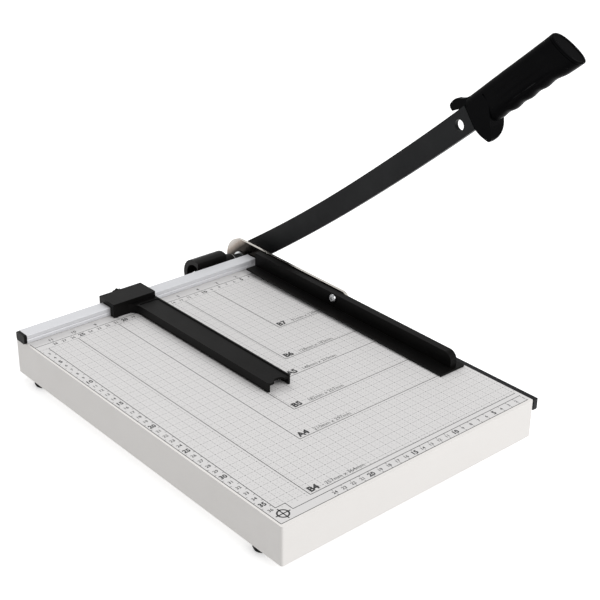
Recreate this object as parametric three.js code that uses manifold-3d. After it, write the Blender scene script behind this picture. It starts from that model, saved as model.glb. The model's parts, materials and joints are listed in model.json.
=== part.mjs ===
// Guillotine paper cutter for sheets up to 257 x 364 mm, in millimetres, +Z up.
// X runs across the table towards the blade, Y runs away from the user towards the hinge.
// While it is drawn, X = 0 is the cutting edge, Y = 0 the front face of the fence rail, and
// Z = 0 the top of the table. At the end the whole object is moved so that its origin lies
// in the middle of its footprint, at the bottom of the feet.

import * as THREE from "three";
import { mergeVertices } from "three/addons/utils/BufferGeometryUtils.js";
import Module from "manifold-3d";

const wasm = await Module();
wasm.setup();

// ---------- driving dimensions ----------
const GAP = 0.3; // left between pieces that touch on the real object

const TRAY = { left: -302.5, right: -5.8, front: -383, back: 20.5, depth: 37.5, sheet: 1.2, corner: 2 };
const TRAY_LIP = 20; // width of the flange folded in under the tray
const HINGE_NOTCH = { left: -44.5, front: 15.4, depth: 20 }; // cut out of the tray's far right corner
const KNIFE = { inner: -5.5, front: -383, back: 15.5, height: 11 };
const RAIL = { left: -301.3, right: -16.8, depth: 15.4, top: 9.6 };
const RAIL_SLOT = { neck: 4.4, pocket: 8.4, neckTop: 2.4, pocketTop: 5.6, centre: 7.7 };
const CAP = { plate: 3, overhang: 0, radius: 2.2, peg: 7 };
const FOOT = { radius: 8, height: 6.6, columns: [-293.5, -17.5], rows: [-348, -9] };

const PIVOT = { y: 28, z: -3 }; // hinge axis, parallel to X
const BOLT_RADIUS = 3.5;
const BOLT_HOLE = BOLT_RADIUS + GAP;
const BARREL = { left: -80.9, right: -41.7, radius: 18.6, bore: 6.2, shoulder: -50, flat: 20.8 };
const BARREL_RECESS = { right: -70.9, radius: 13, front: 21.9 }; // holds the lock nut
const COLLAR = { right: -30, radius: 12.2 };
const BRACKET_FOOT = { left: -98, right: -30.5, back: 26, bottom: -34, top: -14 };
const SPRING = { wire: 0.6, coil: 4.9, turns: 7 };

const BLADE = { near: 0.3, far: 4.8, heel: 15, visible: 388, tangNear: 1.8, tangEnd: 470 };
// The blade's back and its edge are lowest at a distance from the hinge and bend up both ways.
const BLADE_TOP = { lowest: 11.1, at: 196, heelBend: 2e-4, bend: 1.35e-4 };
const BLADE_EDGE = { lowest: -12.05, at: 190, heelBend: 1.6e-4, bend: 1.2e-4 };
const HANG_HOLE = { at: 373.1, height: 3.4, radius: 5.4 };
const BLADE_RAISED = THREE.MathUtils.degToRad(37.5);

// The grip is an upright oval: rows are distance from the hinge, top and bottom of the oval.
const GRIP = { x: 9.5, halfWidth: 9.2, start: 388.6, end: 530, roundness: 2.35 };
const GRIP_OUTLINE = [
  [388, 22.2, -9.2],
  [431, 24.7, -9],
  [452, 25.9, -7.7],
  [470, 26.9, -6.7],
  [488, 27.9, -5.9],
  [497, 28.4, -6.1],
  [532, 30.4, -3.8],
];
const GROOVE = { first: 424.5, pitch: 19.4, count: 4, depth: 1.05 };
const HILT = { near: 0.3, far: 19.3, shoulder: 17, waist: -9.6, tip: -23.4 };
const THUMB_TAB = { near: 5.1, far: 10.5 };
const BUTT = { at: 509.4, height: 12.1, lean: THREE.MathUtils.degToRad(23), cap: 2.6 };

const LEVER = { near: -15.7, far: -12.7, top: 25.4, bottom: 10, end: 173, hub: 11.4, back: 25.4 };
const BAR = { left: -40, farLeft: -36.3, right: -8.7, start: 35, end: 328.8, underside: 7.35, flange: 2 };
const WEB = { left: -24, right: -16, end: 325.2, top: 24.2, nose: 8.5 };
const GUARD_SCREW = { at: 161.5, height: 18.8, head: 4.7, shank: 2.1 };
const CLAMP_DIP = THREE.MathUtils.degToRad(0.7); // the bar touches the table at its near end

const STOP = { left: -206.5, right: -155.8, front: -7.3, back: 19.8, top: 15.2, floor: 0.5 };
const ARM = { left: -181.8, end: -220.5, height: 10, rim: 1.8, recess: 0.9, wall: 2.2, scoop: 6.5 };
const GUSSET = { reach: 8.5, run: 15 };
const KNOB = { x: -179.5, z: 5.9, front: 21.2, length: 8.5, radius: 6.4, lobes: 8 };

// ---------- materials ----------
const paint = (color, roughness, metalness) =>
  new THREE.MeshStandardMaterial({ color, roughness, metalness });
const WHITE_PAINT = paint(0xe6e4e2, 0.45, 0.1);
const BLACK_STEEL = paint(0x26272a, 0.4, 0.5);
const BLACK_CASTING = paint(0x1f1e1d, 0.55, 0.3);
const NICKEL = paint(0xb9b2a8, 0.2, 1);
const ZINC = paint(0xa9abac, 0.35, 1);
const ALUMINIUM = paint(0xd3d4d8, 0.4, 0.9);
const BLACK_PLASTIC = paint(0x222121, 0.5, 0);
const GRIP_PLASTIC = paint(0x141416, 0.4, 0);
const RUBBER = paint(0x1b1b1b, 0.85, 0);

// ---------- solid helpers ----------
// A closed three.js geometry as a manifold-3d solid.
function solid(geometry) {
  const bare = geometry.clone();
  bare.deleteAttribute("normal");
  bare.deleteAttribute("uv");
  const merged = mergeVertices(bare, 1e-4);
  return new wasm.Manifold(
    new wasm.Mesh({
      numProp: 3,
      vertProperties: Float32Array.from(merged.attributes.position.array),
      triVerts: Uint32Array.from(merged.index.array),
    }),
  );
}

function geometryOf(body) {
  const { vertProperties, triVerts } = body.getMesh();
  const geometry = new THREE.BufferGeometry();
  geometry.setAttribute("position", new THREE.BufferAttribute(vertProperties, 3));
  geometry.setIndex(new THREE.BufferAttribute(triVerts, 1));
  geometry.computeVertexNormals();
  return geometry;
}

function piece(name, body, material) {
  const mesh = new THREE.Mesh(geometryOf(body), material);
  mesh.name = name;
  return mesh;
}

const join = (first, ...others) => others.reduce((sum, next) => sum.add(next), first);
const cut = (first, ...others) => others.reduce((rest, next) => rest.subtract(next), first);

function box(x0, x1, y0, y1, z0, z1) {
  const geometry = new THREE.BoxGeometry(x1 - x0, y1 - y0, z1 - z0);
  geometry.translate((x0 + x1) / 2, (y0 + y1) / 2, (z0 + z1) / 2);
  return solid(geometry);
}

// Maps a shape's own axes (u, v, depth) onto three directions of the part.
function extrude(shape, depth, u, v, w, origin, curveSegments = 12) {
  const geometry = new THREE.ExtrudeGeometry(shape, { depth, bevelEnabled: false, curveSegments });
  const matrix = new THREE.Matrix4().makeBasis(u, v, w).setPosition(origin);
  return solid(geometry.applyMatrix4(matrix));
}

const X = new THREE.Vector3(1, 0, 0);
const Y = new THREE.Vector3(0, 1, 0);
const Z = new THREE.Vector3(0, 0, 1);
const BACK_X = X.clone().negate();
const BACK_Y = Y.clone().negate();

// A shape drawn in Y and Z, running from x0 to x1.
const alongX = (shape, x0, x1, curves) =>
  extrude(shape, x1 - x0, Y, Z, X, new THREE.Vector3(x0, 0, 0), curves);
// A shape drawn in X and Z, running from y0 to y1.
const alongY = (shape, y0, y1, curves) =>
  extrude(shape, y1 - y0, X, Z, BACK_Y, new THREE.Vector3(0, y1, 0), curves);
// A shape drawn in X and Y, running from z0 to z1.
const alongZ = (shape, z0, z1, curves) =>
  extrude(shape, z1 - z0, X, Y, Z, new THREE.Vector3(0, 0, z0), curves);
// A shape drawn in distance from the hinge (towards the user) and height, from x0 to x1.
const swinging = (shape, x0, x1, curves) =>
  extrude(shape, x1 - x0, BACK_Y, Z, BACK_X, new THREE.Vector3(x1, 0, 0), curves);

function disc(u, v, radius) {
  const shape = new THREE.Shape();
  shape.absarc(u, v, radius, 0, 2 * Math.PI);
  return shape;
}

function polygon(points) {
  return new THREE.Shape(points.map(([u, v]) => new THREE.Vector2(u, v)));
}

function rectangle(u0, u1, v0, v1, radius = 0) {
  if (!radius) return polygon([[u0, v0], [u1, v0], [u1, v1], [u0, v1]]);
  const shape = new THREE.Shape();
  shape.absarc(u1 - radius, v0 + radius, radius, -Math.PI / 2, 0);
  shape.absarc(u1 - radius, v1 - radius, radius, 0, Math.PI / 2);
  shape.absarc(u0 + radius, v1 - radius, radius, Math.PI / 2, Math.PI);
  shape.absarc(u0 + radius, v0 + radius, radius, Math.PI, 1.5 * Math.PI);
  return shape;
}

function hexagon(u, v, radius) {
  const corners = [0, 1, 2, 3, 4, 5].map((i) => (i * Math.PI) / 3);
  return polygon(corners.map((a) => [u + radius * Math.cos(a), v + radius * Math.sin(a)]));
}

const rodX = (x0, x1, y, z, radius, curves = 10) => alongX(disc(y, z, radius), x0, x1, curves);
const rodY = (y0, y1, x, z, radius, curves = 10) => alongY(disc(x, z, radius), y0, y1, curves);
const rodZ = (z0, z1, x, y, radius, curves = 10) => alongZ(disc(x, y, radius), z0, z1, curves);

// A solid of revolution whose profile is [radius, height] pairs, closed on its axis.
function turned(profile, segments, direction, origin) {
  const points = profile.map(([radius, height]) => new THREE.Vector2(radius, height));
  const geometry = new THREE.LatheGeometry(points, segments);
  const turn = new THREE.Quaternion().setFromUnitVectors(Y, direction);
  geometry.applyQuaternion(turn).translate(origin.x, origin.y, origin.z);
  return solid(geometry);
}

// A pan-head screw with a cross recess: its head's underside is at origin, its shank runs
// along direction.
function panScrew({ head, headHeight, shank, length, origin, direction }) {
  const dome = [
    [0, -headHeight],
    [head * 0.55, -headHeight],
    [head * 0.9, -headHeight * 0.6],
    [head, 0],
    [shank, 0],
    [shank, length],
    [0, length],
  ];
  const body = turned(dome, 12, direction, origin);
  const slotDepth = headHeight * 0.45;
  const side = Math.abs(direction.z) > 0.5 ? X : Z;
  const other = direction.clone().cross(side);
  const recess = [side, other].map((along) => {
    const across = direction.clone().cross(along);
    const corner = origin
      .clone()
      .addScaledVector(along, -head * 0.45)
      .addScaledVector(across, -head * 0.09)
      .addScaledVector(direction, -headHeight - 0.5);
    const slot = rectangle(0, head * 0.9, 0, head * 0.18);
    return extrude(slot, slotDepth + 0.5, along, across, direction, corner);
  });
  return cut(body, ...recess);
}

// ---------- base ----------
function baseTray() {
  const { left, right, front, back, depth, sheet, corner } = TRAY;
  const inset = (d) => rectangle(left + d, right - d, front + d, back - d, Math.max(corner - d, 0.5));
  const shell = cut(
    alongZ(inset(0), -depth, 0, 3),
    alongZ(inset(sheet), -depth + sheet, -sheet, 2),
    alongZ(inset(TRAY_LIP), -depth - 1, -depth + sheet + 1, 2),
  );
  const notch = box(HINGE_NOTCH.left, 0, HINGE_NOTCH.front, back + 1, -HINGE_NOTCH.depth, 1);
  const railHoles = RAIL_FIXINGS.map((x) => rodZ(-3, 1, x, RAIL_SLOT.centre, 2.4, 5));
  const knifeHoles = KNIFE_FIXINGS.map((y) => rodX(right - 3, right + 1, y, KNIFE_SCREW_Z, 2.4, 5));
  const bracketHoles = BRACKET_FIXINGS.map(([x, z]) => rodY(back - 3, back + 1, x, z, 2.8, 5));
  const footHoles = FOOT_PLACES.map(([x, y]) => rodZ(-depth - 1, -depth + 3, x, y, 2.4, 5));
  return cut(shell, notch, ...railHoles, ...knifeHoles, ...bracketHoles, ...footHoles);
}

const RAIL_FIXINGS = [-262, -57];
const KNIFE_FIXINGS = [-358, -238, -118, -8];
const KNIFE_SCREW_Z = -KNIFE.height / 2;
const BRACKET_FIXINGS = [
  [-91, -24],
  [-71, -28],
  [-52, -28],
  [-36, -24],
];
const FOOT_PLACES = FOOT.columns.flatMap((x) => FOOT.rows.map((y) => [x, y]));

function bedKnife() {
  const bar = box(KNIFE.inner, 0, KNIFE.front, KNIFE.back, -KNIFE.height, 0);
  const holes = KNIFE_FIXINGS.map((y) => rodX(KNIFE.inner - 1, -1.2, y, KNIFE_SCREW_Z, 2.3, 5));
  return cut(bar, ...holes);
}

const knifeScrew = (y) =>
  panScrew({
    head: 3.9,
    headHeight: 2.4,
    shank: 2,
    length: 5.2,
    origin: new THREE.Vector3(TRAY.right - TRAY.sheet - GAP, y, KNIFE_SCREW_Z),
    direction: X,
  });

function fenceRail() {
  const { neck, pocket, neckTop, pocketTop, centre } = RAIL_SLOT;
  const { depth, top } = RAIL;
  const profile = polygon([
    [0.6, GAP],
    [centre - neck / 2, GAP],
    [centre - neck / 2, neckTop],
    [centre - pocket / 2, neckTop],
    [centre - pocket / 2, pocketTop],
    [centre + pocket / 2, pocketTop],
    [centre + pocket / 2, neckTop],
    [centre + neck / 2, neckTop],
    [centre + neck / 2, GAP],
    [depth, GAP],
    [depth, top - 0.6],
    [depth - 0.6, top],
    [0.6, top],
    [0, top - 0.6],
    [0, 5.4],
    [0.35, 5.05],
    [0.35, 4.45],
    [0, 4.1],
    [0, 1.3],
    [0.6, 1.1],
  ]);
  return alongX(profile, RAIL.left, RAIL.right);
}

function railCap() {
  const { left, depth, top } = RAIL;
  const { plate, overhang, radius, peg } = CAP;
  const face = rectangle(-overhang, depth + overhang, GAP, top + overhang, radius);
  const { pocket, neckTop, pocketTop, centre } = RAIL_SLOT;
  const half = pocket / 2 - GAP;
  const tongue = rectangle(centre - half, centre + half, neckTop + GAP, pocketTop - GAP);
  const inner = left - GAP;
  return join(alongX(face, inner - plate, inner, 4), alongX(tongue, inner - 1, left + peg));
}

function railNut(x) {
  const { neckTop, pocketTop, centre, pocket } = RAIL_SLOT;
  const half = pocket / 2 - GAP;
  const block = box(x - 4.5, x + 4.5, centre - half, centre + half, neckTop + GAP, pocketTop - GAP);
  return cut(block, rodZ(0, 9, x, centre, 2.1, 5));
}

const railScrew = (x) =>
  panScrew({
    head: 4,
    headHeight: 2.6,
    shank: 1.8,
    length: 6.2,
    origin: new THREE.Vector3(x, RAIL_SLOT.centre, -TRAY.sheet - GAP),
    direction: Z,
  });

function foot(x, y) {
  const { radius, height } = FOOT;
  const top = -TRAY.depth - GAP;
  const dome = [
    [0, 0],
    [radius, 0],
    [radius, -height * 0.5],
    [radius * 0.88, -height * 0.85],
    [radius * 0.72, -height],
    [0, -height],
  ];
  const body = turned(dome.reverse(), 24, Y, new THREE.Vector3());
  const placed = body.rotate([90, 0, 0]).translate([x, y, top]);
  const headRecess = rodZ(top - height - 1, top - height + 2.4, x, y, 4.4, 6);
  return cut(placed, headRecess, rodZ(top - height - 1, top + 1, x, y, 2.2, 5));
}

const footScrew = (x, y) =>
  panScrew({
    head: 3.9,
    headHeight: 1.9,
    shank: 1.9,
    length: 5.2,
    origin: new THREE.Vector3(x, y, -TRAY.depth - GAP - FOOT.height + 2.1),
    direction: Z,
  });

// ---------- hinge ----------
function hingeBracket() {
  const { left, right, radius, bore, shoulder, flat } = BARREL;
  const { y, z } = PIVOT;
  const barrel = rodX(left, right, y, z, radius, 18);
  const collar = rodX(right - 1, COLLAR.right, y, z, COLLAR.radius, 14);
  const plate = box(
    BRACKET_FOOT.left,
    BRACKET_FOOT.right,
    flat,
    BRACKET_FOOT.back,
    BRACKET_FOOT.bottom,
    BRACKET_FOOT.top,
  );
  const front = box(left - 1, right, y - radius - 1, flat, z - radius - 1, z + radius + 1);
  const tapped = BRACKET_FIXINGS.map(([x, height]) => rodY(flat - 1, flat + 4.4, x, height, 2.3, 5));
  const recess = cut(
    rodX(left - 1, BARREL_RECESS.right, y, z, BARREL_RECESS.radius, 14),
    box(left - 2, right, 0, BARREL_RECESS.front, -60, 60),
  );
  return cut(
    join(cut(barrel, front), collar, plate),
    recess,
    rodX(left - 1, shoulder, y, z, bore, 12),
    rodX(shoulder - 1, COLLAR.right + 1, y, z, BOLT_HOLE, 10),
    ...tapped,
  );
}

const bracketScrew = ([x, z]) =>
  panScrew({
    head: 4.6,
    headHeight: 2.8,
    shank: 2,
    length: 5.6,
    origin: new THREE.Vector3(x, TRAY.back - TRAY.sheet - GAP, z),
    direction: Y,
  });

class CoilPath extends THREE.Curve {
  constructor(x0, x1, radius, turns) {
    super();
    Object.assign(this, { x0, x1, radius, turns });
  }
  getPoint(t, target = new THREE.Vector3()) {
    const angle = t * this.turns * 2 * Math.PI;
    return target.set(
      this.x0 + t * (this.x1 - this.x0),
      PIVOT.y + this.radius * Math.cos(angle),
      PIVOT.z + this.radius * Math.sin(angle),
    );
  }
}

function hingeSpring() {
  const { wire, coil, turns } = SPRING;
  const path = new CoilPath(BARREL_RECESS.right + 0.7, BARREL.shoulder - 1, coil, turns);
  const section = polygon([0, 1, 2, 3, 4, 5].map((i) => [
    wire * Math.cos((i * Math.PI) / 3),
    wire * Math.sin((i * Math.PI) / 3),
  ]));
  return solid(new THREE.ExtrudeGeometry(section, { steps: turns * 10, extrudePath: path }));
}

function washer(x0, x1, radius) {
  return cut(
    rodX(x0, x1, PIVOT.y, PIVOT.z, radius, 12),
    rodX(x0 - 1, x1 + 1, PIVOT.y, PIVOT.z, BOLT_HOLE, 10),
  );
}

function hexSleeve(x0, x1, radius) {
  return cut(
    alongX(hexagon(PIVOT.y, PIVOT.z, radius), x0, x1),
    rodX(x0 - 1, x1 + 1, PIVOT.y, PIVOT.z, BOLT_HOLE, 10),
  );
}

const STACK = { // faces of the pieces on the bolt, from left to right
  lockNut: [-79.4, -73],
  springWasher: [-72.7, -71.2],
  collarWasher: [-29.7, -28.2],
  spacer: [-27.9, -17.6],
  leverWasher: [-17.3, -16],
  sleeve: [-12.4, 0],
  pivotWasher: [5.1, 6.7],
  boltHead: [7, 12.5],
};

const HANDLE_FIXINGS = [
  [396, 4.5],
  [447, 7.5],
];
const HEAD_SEAT = 11.2; // where the heads of the handle screws sit

// ---------- blade arm, drawn closed, with the hinge axis as origin ----------
const bowed = ({ lowest, at, heelBend, bend }) => (s) =>
  lowest + (s < at ? heelBend : bend) * (s - at) ** 2;
const bladeTop = bowed(BLADE_TOP);
const bladeEdge = bowed(BLADE_EDGE);
const steps = (from, to, count) =>
  Array.from({ length: count + 1 }, (_, i) => from + ((to - from) * i) / count);

function cuttingBlade() {
  const { near, far, heel, visible, tangNear, tangEnd } = BLADE;
  const along = steps(4, visible, 24);
  const outline = [
    ...along.map((s) => [s, bladeEdge(s)]),
    ...along.toReversed().map((s) => [s, bladeTop(s)]),
  ];
  const strip = swinging(polygon(outline), near, far);
  const heelRound = swinging(disc(0, 0, heel), near, far, 14);
  const tang = swinging(
    polygon([
      [visible - 2, bladeEdge(visible) + 4],
      [tangEnd, bladeEdge(visible) + 7.6],
      [tangEnd, bladeTop(visible) - 1],
      [visible - 2, bladeTop(visible) - 4],
    ]),
    tangNear,
    far,
  );
  const holes = [
    swinging(disc(0, 0, BOLT_HOLE), near - 1, far + 1, 10),
    swinging(disc(HANG_HOLE.at, HANG_HOLE.height, HANG_HOLE.radius), near - 1, far + 1, 8),
    ...HANDLE_FIXINGS.map(([s, h]) => swinging(disc(s, h, 2.2), near - 1, far + 1, 5)),
  ];
  return cut(join(strip, heelRound, tang), ...holes);
}

// Turns a solid drawn round the hinge axis and puts it on the axis; angle lifts the near end.
function hung(body, angle) {
  const degrees = THREE.MathUtils.radToDeg(angle);
  return body.rotate([-degrees, 0, 0]).translate([0, PIVOT.y, PIVOT.z]);
}

// The grip's top and bottom at a distance from the hinge, eased between the outline's rows.
function gripSpan(s) {
  const last = GRIP_OUTLINE.length - 2;
  const row = Math.min(last, GRIP_OUTLINE.findLastIndex(([at]) => at <= s));
  const [from, to] = [GRIP_OUTLINE[row], GRIP_OUTLINE[row + 1]];
  const t = (s - from[0]) / (to[0] - from[0]);
  return [1, 2].map((side) => THREE.MathUtils.lerp(from[side], to[side], t));
}

// The grip as oval rings from the hilt to past the butt, each dented below by finger grooves.
function gripBody() {
  const rings = 42;
  const sides = 24;
  const positions = [];
  const index = [];
  for (let i = 0; i <= rings; i++) {
    const s = THREE.MathUtils.lerp(GRIP.start, GRIP.end, i / rings);
    const [top, bottom] = gripSpan(s);
    const height = (top + bottom) / 2;
    const place = (s - GROOVE.first) / GROOVE.pitch;
    const grooved = place > -0.5 && place < GROOVE.count - 0.5;
    const dent = grooved ? (GROOVE.depth * (1 + Math.cos(2 * Math.PI * place))) / 2 : 0;
    for (let j = 0; j < sides; j++) {
      const angle = (2 * Math.PI * (j + 0.5)) / sides;
      const [across, up] = [Math.cos(angle), Math.sin(angle)];
      const square = (Math.abs(across) ** GRIP.roundness + Math.abs(up) ** GRIP.roundness) **
        (-1 / GRIP.roundness);
      const half = (top - bottom) / 2 - dent * Math.max(0, -up);
      positions.push(GRIP.x + GRIP.halfWidth * square * across, -s, height + half * square * up);
    }
  }
  for (let i = 0; i < rings; i++) {
    for (let j = 0; j < sides; j++) {
      const a = i * sides + j;
      const b = i * sides + ((j + 1) % sides);
      index.push(a, b, b + sides, a, b + sides, a + sides);
    }
  }
  const last = rings * sides;
  for (let j = 1; j < sides - 1; j++) {
    index.push(0, j + 1, j);
    index.push(last, last + j, last + j + 1);
  }
  return new wasm.Manifold(
    new wasm.Mesh({
      numProp: 3,
      vertProperties: Float32Array.from(positions),
      triVerts: Uint32Array.from(index),
    }),
  );
}

// A slab across the grip, leaning like its butt, from near to far millimetres past the butt.
function buttSlab(near, far) {
  const { at, height, lean } = BUTT;
  const slab = box(-30, 60, -far, -near, -60, 60);
  return slab.rotate([-THREE.MathUtils.radToDeg(lean), 0, 0]).translate([0, -at, height]);
}

// The hilt seen from the left, with the finger guard below.
function hiltShape() {
  const shape = new THREE.Shape();
  shape.moveTo(388.4, 13.5);
  shape.quadraticCurveTo(392, 16.4, 400, 16.6);
  shape.lineTo(412, 16.6);
  shape.quadraticCurveTo(417, 8, 412.8, 1.1);
  shape.quadraticCurveTo(408.9, -6, 405.6, -12.3);
  shape.lineTo(402, -21.2);
  shape.quadraticCurveTo(400.4, -24, 396.8, -23);
  shape.quadraticCurveTo(391, -16, 388.8, -9.2);
  return shape;
}

// The hilt seen along the arm: inside the grip above, a quarter of an oval below.
function hiltSection() {
  const { near, far, shoulder, waist, tip } = HILT;
  const shape = new THREE.Shape();
  shape.moveTo(near, tip);
  shape.absellipse(near, waist, far - near, waist - tip, -Math.PI / 2, 0);
  shape.lineTo(far, 6);
  shape.quadraticCurveTo(16.5, shoulder, GRIP.x, shoulder);
  shape.lineTo(near, shoulder);
  return shape;
}

// The thumb tab lies behind the blade and stands up over its back.
function tabShape() {
  const shape = new THREE.Shape();
  shape.moveTo(367.4, 18.8);
  shape.quadraticCurveTo(365.6, 24.6, 369.4, 25.8);
  shape.quadraticCurveTo(375.2, 27.8, 380, 26.2);
  shape.quadraticCurveTo(385, 22.9, 391, 22);
  shape.lineTo(396, 21.4);
  shape.lineTo(396, 4);
  shape.lineTo(386, 4);
  shape.quadraticCurveTo(384, 15, 367.4, 18.8);
  return shape;
}

function handleGrip() {
  const { tangNear, tangEnd, visible, far } = BLADE;
  const hilt = swinging(hiltShape(), HILT.near, HILT.far, 6).intersect(
    alongY(hiltSection(), -GRIP.end, 0, 8),
  );
  const tab = swinging(tabShape(), THUMB_TAB.near, THUMB_TAB.far, 6);
  const slot = polygon([
    [visible - 4, bladeEdge(visible) + 3.4],
    [tangEnd + 1, bladeEdge(visible) + 7],
    [tangEnd + 1, bladeTop(visible) - 0.4],
    [visible - 4, bladeTop(visible) - 3.4],
  ]);
  const screwHoles = HANDLE_FIXINGS.map(([at, h]) => rodX(tangNear - GAP, 19, -at, h, 2.1, 5));
  const headSeats = HANDLE_FIXINGS.map(([at, h]) => rodX(HEAD_SEAT, 30, -at, h, 4.6, 7));
  return cut(
    join(gripBody(), hilt, tab),
    buttSlab(-BUTT.cap - GAP, 60),
    swinging(slot, tangNear - GAP, far + GAP),
    ...screwHoles,
    ...headSeats,
  );
}

const handleEndCap = () => gripBody().intersect(buttSlab(-BUTT.cap, 0));

const handleScrew = ([at, height]) =>
  panScrew({
    head: 4,
    headHeight: 2.2,
    shank: 1.8,
    length: 9.5,
    origin: new THREE.Vector3(HEAD_SEAT + GAP, -at, height),
    direction: BACK_X,
  });

const pivotBolt = () =>
  join(
    alongX(hexagon(0, 0, 7.6), STACK.boltHead[0], STACK.boltHead[1]),
    alongX(disc(0, 0, BOLT_RADIUS), STACK.lockNut[0] - 1.2, STACK.boltHead[0] + 1, 10),
  );

// ---------- paper clamp, drawn level, with the hinge axis as origin ----------
function clampLever() {
  const { near, far, top, bottom, end, hub, back } = LEVER;
  const nose = (top - bottom) / 2;
  const shape = new THREE.Shape();
  shape.moveTo(hub + 2, bottom);
  shape.lineTo(end - nose, bottom);
  shape.absarc(end - nose, bottom + nose, nose, -Math.PI / 2, Math.PI / 2);
  shape.lineTo(0, top);
  shape.absarc(0, 0, back, Math.PI / 2, 1.36 * Math.PI);
  shape.absarc(0, 0, hub, 1.5 * Math.PI, 2 * Math.PI);
  const plate = swinging(shape, near, far, 14);
  return cut(
    plate,
    swinging(disc(0, 0, BOLT_HOLE), near - 1, far + 1, 10),
    swinging(disc(GUARD_SCREW.at, GUARD_SCREW.height, GUARD_SCREW.shank + GAP), near - 1, far + 1, 6),
  );
}

function guardBar() {
  const { left, farLeft, right, start, end, underside, flange } = BAR;
  const footprint = new THREE.Shape();
  footprint.moveTo(left, -end);
  footprint.lineTo(right, -end);
  footprint.lineTo(right, -start);
  footprint.lineTo(farLeft, -start);
  const plate = alongZ(footprint, underside, underside + flange, 5);
  const web = new THREE.Shape();
  web.moveTo(start, underside + 0.5);
  web.lineTo(WEB.end, underside + 0.5);
  web.absarc(WEB.end - WEB.nose, WEB.top - WEB.nose, WEB.nose, 0, Math.PI / 2);
  web.lineTo(start, WEB.top);
  const bar = join(plate, swinging(web, WEB.left, WEB.right, 6));
  const leverPocket = box(WEB.right, BAR.right + 1, -LEVER.end - 2, 0, LEVER.bottom - 0.3, 40);
  const { at, height, shank } = GUARD_SCREW;
  return cut(bar, leverPocket, rodX(WEB.left - 1, WEB.right + 1, -at, height, shank + GAP, 6));
}

const guardScrew = () =>
  panScrew({
    head: GUARD_SCREW.head,
    headHeight: 2.6,
    shank: GUARD_SCREW.shank,
    length: 15.6,
    origin: new THREE.Vector3(WEB.left - GAP, -GUARD_SCREW.at, GUARD_SCREW.height),
    direction: X,
  });

function guardNut() {
  const start = LEVER.far + GAP;
  const { at, height, shank } = GUARD_SCREW;
  return cut(
    alongX(hexagon(-at, height, 4), start, start + 2.4),
    rodX(start - 1, start + 4, -at, height, shank + GAP, 6),
  );
}

// ---------- paper stop ----------
function paperStop() {
  const { left, right, front, back, top, floor } = STOP;
  const railGap = RAIL.top + GAP;
  const block = alongZ(rectangle(left, right, front, back, 0.8), floor, top, 4);
  const channel = box(left - 1, right + 1, -0.7, RAIL.depth + 0.5, floor - 1, railGap);
  const arm = box(ARM.left, right, ARM.end, front + 2, floor, ARM.height);
  const recess = box(
    ARM.left + ARM.rim,
    right - ARM.rim,
    ARM.end - 1,
    front - 6,
    ARM.height - ARM.recess,
    ARM.height + 1,
  );
  const underside = box(
    ARM.left + ARM.wall,
    right - ARM.wall,
    ARM.end - 1,
    front - 4,
    floor - 1,
    ARM.height - ARM.recess - ARM.wall,
  );
  const middle = (ARM.left + right) / 2;
  const scoop = rodZ(floor, 12, middle, ARM.end - 2, ARM.scoop, 8);
  const gusset = new THREE.Shape();
  gusset.moveTo(ARM.left + 1, front + 1);
  gusset.lineTo(ARM.left - GUSSET.reach, front + 1);
  gusset.lineTo(ARM.left - GUSSET.reach, front);
  gusset.quadraticCurveTo(ARM.left, front, ARM.left, front - GUSSET.run);
  gusset.lineTo(ARM.left + 1, front - GUSSET.run);
  const corner = alongZ(gusset, floor, ARM.height, 6);
  const screwHole = rodY(RAIL.depth, back + 1, KNOB.x, KNOB.z, 2.8, 6);
  return cut(join(block, arm, corner), channel, recess, underside, scoop, screwHole);
}

function stopKnob() {
  const { x, z, front, length, radius, lobes } = KNOB;
  const shape = new THREE.Shape();
  steps(0, 1, lobes * 5).forEach((t, i) => {
    const r = radius - 0.5 + 0.5 * Math.cos(2 * Math.PI * t * lobes);
    const a = 2 * Math.PI * t;
    const [u, v] = [x + r * Math.cos(a), z + r * Math.sin(a)];
    if (i === 0) shape.moveTo(u, v);
    else shape.lineTo(u, v);
  });
  const head = alongY(shape, front, front + length);
  return join(head, rodY(RAIL.depth + 1.9, front + 1, x, z, 2.4, 6));
}

function stopPad() {
  return rodY(RAIL.depth + 0.2, RAIL.depth + 1.6, KNOB.x, KNOB.z, 2.4, 6);
}

// ---------- assembly ----------
const cutter = new THREE.Group();
const add = (name, body, material) => cutter.add(piece(name, body, material));

add("base_tray", baseTray(), WHITE_PAINT);
add("bed_knife", bedKnife(), BLACK_STEEL);
KNIFE_FIXINGS.forEach((y, i) => add(`knife_screw_${i + 1}`, knifeScrew(y), ZINC));
add("fence_rail", fenceRail(), ALUMINIUM);
add("rail_end_cap", railCap(), BLACK_PLASTIC);
RAIL_FIXINGS.forEach((x, i) => {
  add(`rail_nut_${i + 1}`, railNut(x), ZINC);
  add(`rail_screw_${i + 1}`, railScrew(x), ZINC);
});
FOOT_PLACES.forEach(([x, y], i) => {
  add(`foot_${i + 1}`, foot(x, y), RUBBER);
  add(`foot_screw_${i + 1}`, footScrew(x, y), ZINC);
});
add("hinge_bracket", hingeBracket(), BLACK_CASTING);
BRACKET_FIXINGS.forEach((place, i) => add(`bracket_screw_${i + 1}`, bracketScrew(place), ZINC));
add("hinge_spring", hingeSpring(), ZINC);
add("spring_washer", washer(...STACK.springWasher, 5.8), ZINC);
add("collar_washer", washer(...STACK.collarWasher, 11), ZINC);
add("hinge_spacer", hexSleeve(...STACK.spacer, 9), BLACK_STEEL);
add("lever_washer", washer(...STACK.leverWasher, 11), ZINC);

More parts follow.
